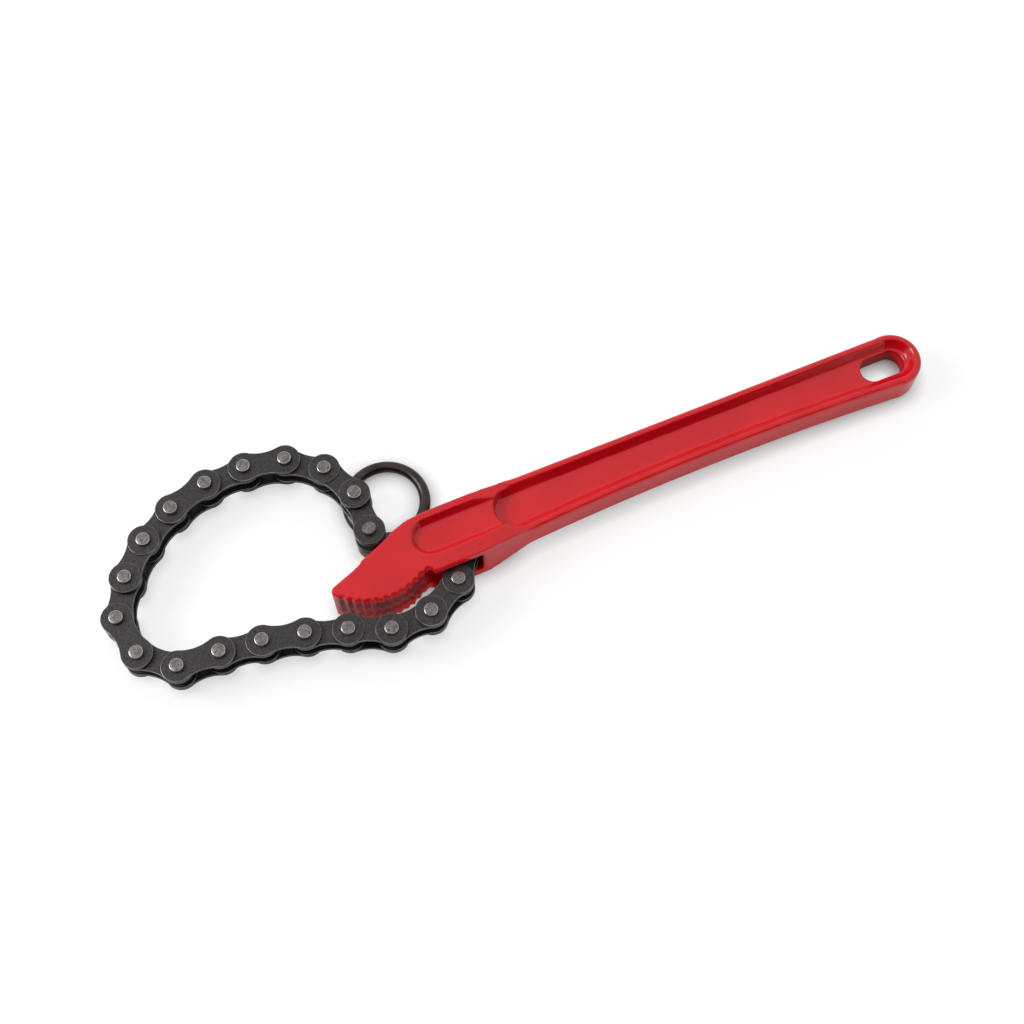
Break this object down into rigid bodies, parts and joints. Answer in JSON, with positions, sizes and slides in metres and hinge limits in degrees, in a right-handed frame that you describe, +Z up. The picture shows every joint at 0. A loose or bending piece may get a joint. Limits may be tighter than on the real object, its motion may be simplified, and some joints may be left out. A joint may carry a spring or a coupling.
{
  "type": "chain pipe wrench",
  "caption": "Chain pipe wrench: forged red I-section handle with a toothed wedge head, a waisted-link chain anchored in the head's slot and a pull ring at its free end.",
  "frame": {"origin": "on the flat underside of the jaw block, where the head rests on the table", "axes": "+X along the handle towards the hanging hole, +Z up from the table, +Y across the handle away from the toothed jaw"},
  "size_m": [0.3987, 0.1142, 0.027],
  "materials": {
    "red_enamel": "thick glossy red enamel on a forging",
    "black_plate": "blackened steel, satin",
    "bright_pin": "plain steel pin ends, slightly brown",
    "dark_ring": "dark oxide on steel wire"
  },
  "bodies": {
    "handle": {"handle": "red_enamel", "anchor_pin": "bright_pin", "anchor_spacers": "black_plate"},
    "link_01": {"inner_plates_01": "black_plate", "bushes_01": "black_plate"},
    "link_02": {"outer_plates_02": "black_plate", "pins_02": "bright_pin", "washers_02": "black_plate"},
    "link_03": {"inner_plates_03": "black_plate", "bushes_03": "black_plate"},
    "link_04": {"outer_plates_04": "black_plate", "pins_04": "bright_pin", "washers_04": "black_plate"},
    "link_05": {"inner_plates_05": "black_plate", "bushes_05": "black_plate"},
    "link_06": {"outer_plates_06": "black_plate", "pins_06": "bright_pin"},
    "link_07": {"inner_plates_07": "black_plate", "bushes_07": "black_plate"},
    "link_08": {"outer_plates_08": "black_plate", "pins_08": "bright_pin"},
    "link_09": {"inner_plates_09": "black_plate", "bushes_09": "black_plate"},
    "link_10": {"outer_plates_10": "black_plate", "pins_10": "bright_pin"},
    "link_11": {"inner_plates_11": "black_plate", "bushes_11": "black_plate"},
    "link_12": {"outer_plates_12": "black_plate", "pins_12": "bright_pin", "washers_12": "black_plate"},
    "link_13": {"inner_plates_13": "black_plate", "bushes_13": "black_plate"},
    "link_14": {"outer_plates_14": "black_plate", "pins_14": "bright_pin"},
    "link_15": {"inner_plates_15": "black_plate", "bushes_15": "black_plate"},
    "link_16": {"outer_plates_16": "black_plate", "pins_16": "bright_pin"},
    "link_17": {"inner_plates_17": "black_plate", "bushes_17": "black_plate"},
    "link_18": {"outer_plates_18": "black_plate", "pins_18": "bright_pin", "washers_18": "black_plate"},
    "link_19": {"inner_plates_19": "black_plate", "bushes_19": "black_plate"},
    "ring": {"end_stud": "bright_pin", "end_washer": "black_plate", "pull_ring": "dark_ring"}
  },
  "joints": [
    {"name": "anchor_hinge", "type": "hinge", "parent": "handle", "child": "link_01", "pos_m": [0.0404, 0.0019, 0.0135], "axis": [0, 0, 1], "range_deg": [-3, 2]},
    {"name": "chain_hinge_02", "type": "hinge", "parent": "link_01", "child": "link_02", "pos_m": [0.02923, -0.01353, 0.0135], "axis": [0, 0, 1], "range_deg": [0, 5]},
    {"name": "chain_hinge_03", "type": "hinge", "parent": "link_02", "child": "link_03", "pos_m": [0.01246, -0.02256, 0.0135], "axis": [0, 0, 1], "range_deg": [0, 12]},
    {"name": "chain_hinge_04", "type": "hinge", "parent": "link_03", "child": "link_04", "pos_m": [-0.00658, -0.02339, 0.0135], "axis": [0, 0, 1], "range_deg": [0, 15]},
    {"name": "chain_hinge_05", "type": "hinge", "parent": "link_04", "child": "link_05", "pos_m": [-0.02407, -0.01586, 0.0135], "axis": [0, 0, 1], "range_deg": [0, 15]},
    {"name": "chain_hinge_06", "type": "hinge", "parent": "link_05", "child": "link_06", "pos_m": [-0.04217, -0.00991, 0.0135], "axis": [0, 0, 1], "range_deg": [0, 15]},
    {"name": "chain_hinge_07", "type": "hinge", "parent": "link_06", "child": "link_07", "pos_m": [-0.06072, -0.00559, 0.0135], "axis": [0, 0, 1], "range_deg": [0, 15]},
    {"name": "chain_hinge_08", "type": "hinge", "parent": "link_07", "child": "link_08", "pos_m": [-0.07959, -0.00294, 0.0135], "axis": [0, 0, 1], "range_deg": [0, 15]},
    {"name": "chain_hinge_09", "type": "hinge", "parent": "link_08", "child": "link_09", "pos_m": [-0.09861, -0.00198, 0.0135], "axis": [0, 0, 1], "range_deg": [0, 15]},
    {"name": "chain_hinge_10", "type": "hinge", "parent": "link_09", "child": "link_10", "pos_m": [-0.11284, 0.0107, 0.0135], "axis": [0, 0, 1], "range_deg": [0, 15]},
    {"name": "chain_hinge_11", "type": "hinge", "parent": "link_10", "child": "link_11", "pos_m": [-0.11598, 0.02949, 0.0135], "axis": [0, 0, 1], "range_deg": [0, 15]},
    {"name": "chain_hinge_12", "type": "hinge", "parent": "link_11", "child": "link_12", "pos_m": [-0.10666, 0.0461, 0.0135], "axis": [0, 0, 1], "range_deg": [0, 15]},
    {"name": "chain_hinge_13", "type": "hinge", "parent": "link_12", "child": "link_13", "pos_m": [-0.09347, 0.05985, 0.0135], "axis": [0, 0, 1], "range_deg": [0, 15]},
    {"name": "chain_hinge_14", "type": "hinge", "parent": "link_13", "child": "link_14", "pos_m": [-0.07726, 0.06986, 0.0135], "axis": [0, 0, 1], "range_deg": [0, 15]},
    {"name": "chain_hinge_15", "type": "hinge", "parent": "link_14", "child": "link_15", "pos_m": [-0.05907, 0.07549, 0.0135], "axis": [0, 0, 1], "range_deg": [0, 15]},
    {"name": "chain_hinge_16", "type": "hinge", "parent": "link_15", "child": "link_16", "pos_m": [-0.04004, 0.07639, 0.0135], "axis": [0, 0, 1], "range_deg": [0, 15]},
    {"name": "chain_hinge_17", "type": "hinge", "parent": "link_16", "child": "link_17", "pos_m": [-0.02139, 0.07249, 0.0135], "axis": [0, 0, 1], "range_deg": [0, 15]},
    {"name": "chain_hinge_18", "type": "hinge", "parent": "link_17", "child": "link_18", "pos_m": [-0.0064, 0.06074, 0.0135], "axis": [0, 0, 1], "range_deg": [0, 15]},
    {"name": "chain_hinge_19", "type": "hinge", "parent": "link_18", "child": "link_19", "pos_m": [0.00183, 0.04356, 0.0135], "axis": [0, 0, 1], "range_deg": [0, 15]},
    {"name": "ring_swivel", "type": "hinge", "parent": "link_19", "child": "ring", "pos_m": [0.0016, 0.02451, 0.0135], "axis": [0, 0, 1], "range_deg": [0, 60]}
  ]
}
